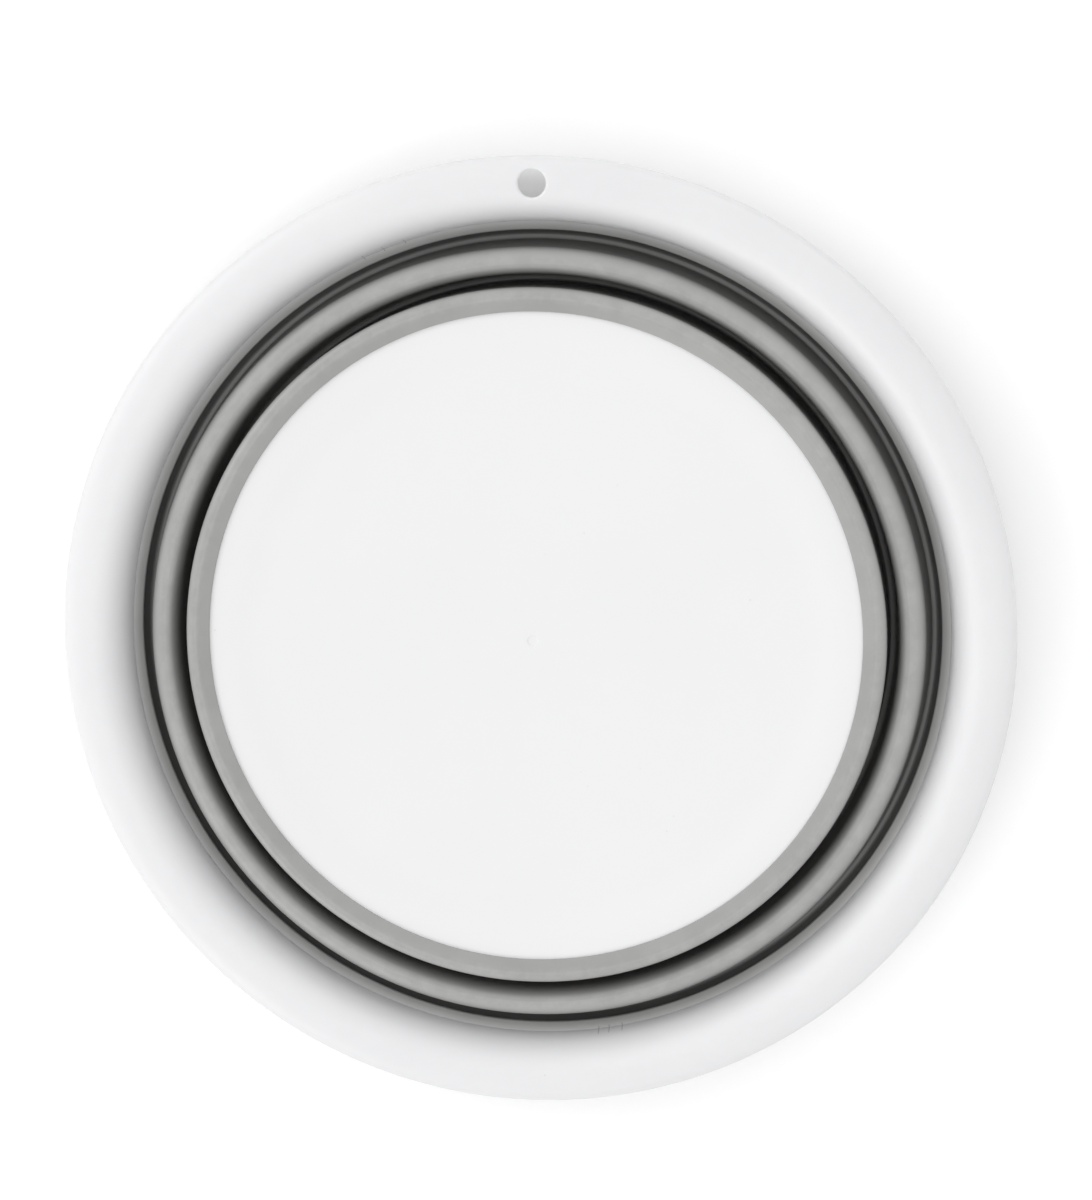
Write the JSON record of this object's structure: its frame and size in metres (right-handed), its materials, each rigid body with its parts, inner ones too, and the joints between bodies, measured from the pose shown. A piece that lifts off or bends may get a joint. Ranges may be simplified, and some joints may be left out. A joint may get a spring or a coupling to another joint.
{
  "type": "collapsible tub",
  "caption": "Round folding wash tub, folded flat: hard convex rim with a hang hole, hard dished base and a soft nested wall that pulls up over its folds.",
  "frame": {"origin": "on the tub's axis, at the level of the surface that the folded tub lies on", "axes": "+Z along the tub's axis, out of its mouth; +Y towards the hang hole"},
  "size_m": [0.3148, 0.3148, 0.029],
  "materials": {
    "rim_plastic": "satin, fine even texture",
    "plate_plastic": "satin, smooth",
    "band_rubber": "satin, moulded thermoplastic rubber",
    "fold_rubber": "satin, moulded thermoplastic rubber, thin"
  },
  "bodies": {
    "base": {"base_plate": "plate_plastic", "base_ring": "band_rubber", "lower_fold": "fold_rubber"},
    "middle": {"middle_wall": "band_rubber", "upper_fold": "fold_rubber"},
    "rim": {"upper_wall": "band_rubber", "rim_flange": "rim_plastic"}
  },
  "joints": [
    {"name": "lower_lift", "type": "slide", "parent": "base", "child": "middle", "axis": [0, 0, 1], "range_m": [0, 0.0528], "deforming": ["lower_fold"]},
    {"name": "upper_lift", "type": "slide", "parent": "middle", "child": "rim", "axis": [0, 0, 1], "range_m": [0, 0.035], "deforming": ["upper_fold"]}
  ]
}
